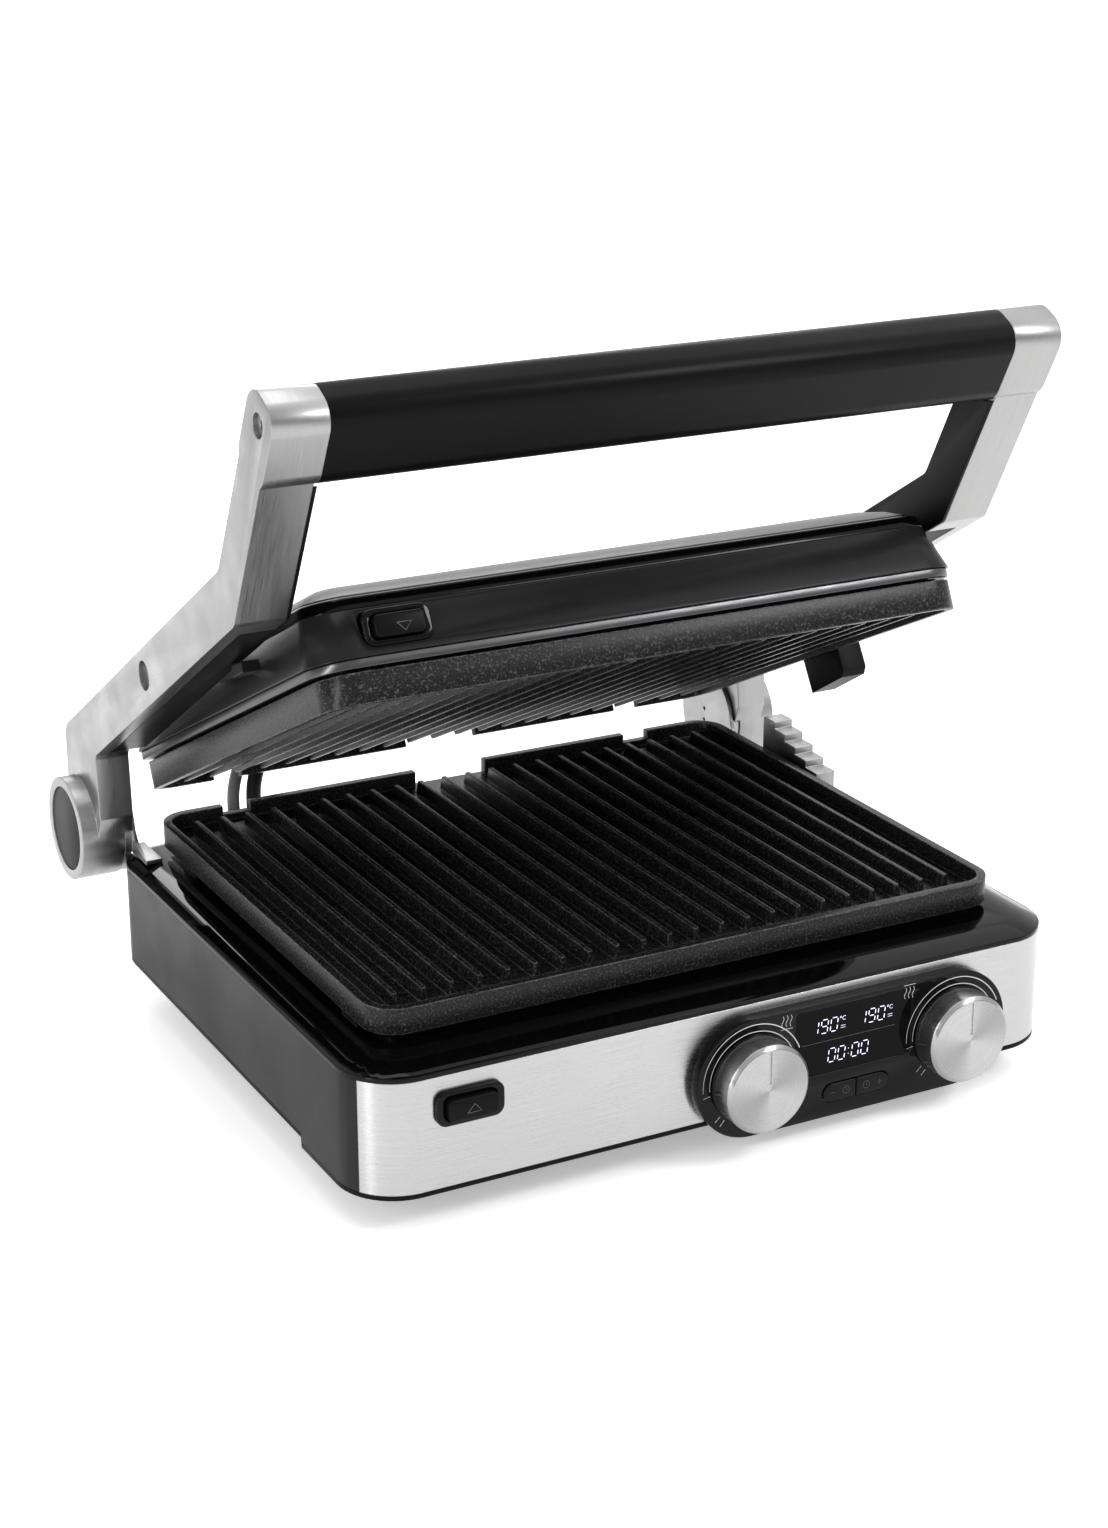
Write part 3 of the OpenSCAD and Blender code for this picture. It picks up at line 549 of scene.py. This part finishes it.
for x, z, bar in heat_signs:
    prints += heat(x, z)
    prints.append([on_panel(x - 3 * MM, z + bar), on_panel(x + 3 * MM, z + bar)])
for x in (LEFT_X, RIGHT_X):
    for angle in (190, 222, 230):
        for start in (INNER_ARC, OUTER_ARC - 1.4 * MM):
            prints.append(tick(x, DIAL_Z, angle, start, start + 1.6 * MM))
marks("panel_prints", prints, 0.13 * MM, white_print)
scales = [ring_arc(x, DIAL_Z, r, 22, 184) for x in (LEFT_X, RIGHT_X) for r in (INNER_ARC, OUTER_ARC)]
marks("dial_scales", scales, 0.32 * MM, white_print, thin=0.3)


# ---- skirts behind the dials ----


def lathe(name, x, z, profile, material, body, slot, sides=96):
    """A turned shape round a line along Y, from pairs of radius and y in metres."""
    mesh = bpy.data.meshes.new(name)
    work = bmesh.new()
    rings = []
    for radius, y in profile:
        ring = [(x + radius * math.cos(a), y, z + radius * math.sin(a)) for a in full_turn(sides)]
        rings.append([work.verts.new(v) for v in ring])
    for one, two in zip(rings, rings[1:] + rings[:1]):
        for k in range(sides):
            face = work.faces.new((one[k], one[(k + 1) % sides], two[(k + 1) % sides], two[k]))
            face.smooth = True
    bmesh.ops.recalc_face_normals(work, faces=work.faces)
    work.to_mesh(mesh)
    work.free()
    return place(name, mesh, material, body, slot=slot)


SKIRT_FRONT = DIAL_BACK + 0.05 * MM
SKIRT_BACK = DIAL_BACK + 1.3 * MM
SKIRT = [
    (DIAL_R - 2 * MM, SKIRT_FRONT), (DIAL_R + 0.3 * MM, SKIRT_FRONT),
    (DIAL_R + 0.5 * MM, DIAL_BACK + 0.3 * MM), (DIAL_R + 0.5 * MM, SKIRT_BACK),
    (DIAL_R - 2 * MM, SKIRT_BACK),
]
lathe("left_skirt", LEFT_X, DIAL_Z, SKIRT, looks["black_gloss"], "left_knob", "black_gloss")
lathe("right_skirt", RIGHT_X, DIAL_Z, SKIRT, looks["black_gloss"], "right_knob", "black_gloss")


# ---- marks on the buttons ----

KEY_Z = middle("minus_button", 2)
KEY_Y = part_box("minus_button")[0][1] - PRINT_GAP


def key_marks(name, body, node, side):
    """A minus or plus and a small clock face on one half of the timer key."""
    sign_x = middle(node, 0) + side * 3.6 * MM
    face_x = middle(node, 0) - side * 3.2 * MM
    size = 1.3 * MM
    strokes = [[(sign_x - size, KEY_Y, KEY_Z), (sign_x + size, KEY_Y, KEY_Z)]]
    if side > 0:
        strokes.append([(sign_x, KEY_Y, KEY_Z - size), (sign_x, KEY_Y, KEY_Z + size)])
    turns = full_turn(20) + [2 * math.pi]
    radius = 1.7 * MM
    strokes.append([(face_x + radius * math.cos(a), KEY_Y, KEY_Z + radius * math.sin(a)) for a in turns])
    long_hand = (face_x, KEY_Y, KEY_Z + 1.1 * MM)
    short_hand = (face_x + 0.8 * MM, KEY_Y, KEY_Z)
    strokes.append([long_hand, (face_x, KEY_Y, KEY_Z), short_hand])
    marks(name, strokes, 0.12 * MM, grey_print, body)


key_marks("minus_marks", "minus_key", "minus_button", -1)
key_marks("plus_marks", "plus_key", "plus_button", 1)

# how far the lid leans back at rest
LID_LEAN = math.radians(25.8)
ARROW_GAP = 0.05 * MM
side = Vector((1, 0, 0))


def triangle(at, up, flip):
    """A small arrowhead on a release key, round a point and towards up or, flipped, away from it."""
    corners = [(-3.2, -1.6), (3.2, -1.6), (0, 1.9), (-3.2, -1.6)]
    return [at + side * x * MM + up * z * MM * flip for x, z in corners]


key = "lower_release_button"
face = Vector((middle(key, 0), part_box(key)[0][1] - ARROW_GAP, middle(key, 2)))
arrow = triangle(face, Vector((0, 0, 1)), 1)
marks("lower_key_mark", [arrow], 0.2 * MM, grey_print, "lower_key", "black_matte")
key = "upper_release_button"
low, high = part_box(key)
lid_up = Vector((0, math.sin(LID_LEAN), math.cos(LID_LEAN)))
lid_front = Vector((0, -math.cos(LID_LEAN), math.sin(LID_LEAN)))
half_key = 4.6 * MM
face = Vector((middle(key, 0), low[1], high[2])) - lid_up * half_key
arrow = triangle(face + lid_front * ARROW_GAP, lid_up, -1)
marks("upper_key_mark", [arrow], 0.2 * MM, grey_print, "upper_key", "black_matte")

# ---- leads between the base and the lid ----

BRAID_R = 3 * MM
SLEEVE_R = 3.6 * MM
BRAID_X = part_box("braided_lead")[0][0] + BRAID_R
SLEEVE_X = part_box("sleeved_lead")[0][0] + SLEEVE_R
# a lead's middle line in millimetres, with x from the lead's own place
ROUTE = [
    (0, 127.5, 68), (0, 127.7, 71), (1, 133, 77), (6, 145, 85), (12, 152, 94), (18, 154, 104),
    (22, 151, 114), (22, 139, 123), (22, 111, 138),
]
# steps from one point of the route to the next, and the point where the two lengths meet
SPAN = 8
SEAM = 5


def lead(name, x, radius, material, node):
    """A lead in two lengths: one bends from base to arms, the other from arms to lid."""
    path = smooth_path([Vector((x + dx * MM, y * MM, z * MM)) for dx, y, z in ROUTE], SPAN)
    lower = tube(name + "_low", path[:SEAM * SPAN + 1], radius, material, None, node)
    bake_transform(lower)
    upper = tube(name + "_high", path[SEAM * SPAN:], radius, material, None, node)
    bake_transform(upper)


lead("woven_lead", BRAID_X, BRAID_R, looks["braid"], "braided_lead")
lead("black_lead", SLEEVE_X, SLEEVE_R, looks["rubber"], "sleeved_lead")

# ---- camera, floor and light ----

CAMERA_AT = (-0.560, -1.0405, 0.554)
CAMERA_WAY = (0.4426, 0.8297, -0.3402)
BRIGHT_WAY = (0.8, 0.45, 0.4)
scene = bpy.context.scene


def turned(way):
    """The turn that points a camera or a lamp along a direction."""
    return Vector(way).to_track_quat("-Z", "Y").to_euler()


lens = bpy.data.cameras.new("camera")
lens.lens = 90.2
lens.sensor_width = 36
lens.sensor_fit = "HORIZONTAL"
lens.clip_end = 50
camera = bpy.data.objects.new("camera", lens)
camera.location = CAMERA_AT
camera.rotation_euler = turned(CAMERA_WAY)
scene.collection.objects.link(camera)
scene.camera = camera

floor_mesh = bpy.data.meshes.new("floor")
reach = 40.0
corners = [(-reach, -reach, 0), (reach, -reach, 0), (reach, reach, 0), (-reach, reach, 0)]
floor_mesh.from_pydata(corners, [], [(0, 1, 2, 3)])
floor = bpy.data.objects.new("floor", floor_mesh)
scene.collection.objects.link(floor)
floor_look = Look("pale_floor", grey(0.9), 0.5)
floor_look.vary_rough(floor_look.noise(3), 0.4, 0.5)
floor_look.set("Emission Color", (1, 1, 1, 1)).set("Emission Strength", 0.42)
floor_mesh.materials.append(floor_look.mat)


def softbox(name, at, aim, size, power):
    """A rectangular lamp of a size in metres and a power in watts."""
    lamp = bpy.data.lights.new(name, "AREA")
    lamp.shape = "RECTANGLE"
    lamp.size = size[0]
    lamp.size_y = size[1]
    lamp.energy = power
    holder = bpy.data.objects.new(name, lamp)
    holder.location = at
    holder.rotation_euler = turned(Vector(aim) - Vector(at))
    scene.collection.objects.link(holder)


softbox("overhead", (-0.1, 0.15, 1.3), (0, 0, 0), (0.9, 0.5), 2.5)
softbox("left_box", (-1.4, -0.6, 0.5), (0, 0, 0.1), (0.22, 0.9), 8)
softbox("front_box", (0.9, -1.1, 1.3), (0, 0, 0.1), (0.5, 0.4), 8)
softbox("rear_strip", (0.5, 1.5, 1.0), (0, 0, 0.2), (1.2, 0.3), 5)
sky = bpy.data.lights.new("sky", "SUN")
sky.energy = 1.1
sky.angle = math.radians(130)
holder = bpy.data.objects.new("sky", sky)
holder.rotation_euler = (math.radians(8), math.radians(-8), 0)
scene.collection.objects.link(holder)
world = bpy.data.worlds.new("studio")
world.use_nodes = True
sky_nodes = world.node_tree.nodes
ways = sky_nodes.new("ShaderNodeTexCoord")
toward = sky_nodes.new("ShaderNodeVectorMath")
toward.operation = "DOT_PRODUCT"
toward.inputs[1].default_value = Vector(BRIGHT_WAY).normalized()
fade = sky_nodes.new("ShaderNodeMapRange")
fade.interpolation_type = "SMOOTHSTEP"
fade.inputs["From Min"].default_value = -0.1
fade.inputs["From Max"].default_value = 0.95
fade.inputs["To Min"].default_value = 0.42
fade.inputs["To Max"].default_value = 1.15
world.node_tree.links.new(ways.outputs["Generated"], toward.inputs[0])
world.node_tree.links.new(toward.outputs["Value"], fade.inputs["Value"])
world.node_tree.links.new(fade.outputs["Result"], sky_nodes["Background"].inputs["Strength"])
sky_nodes["Background"].inputs["Color"].default_value = (1, 1, 1, 1)
scene.world = world
scene.view_settings.view_transform = "Standard"
scene.view_settings.gamma = 0.86
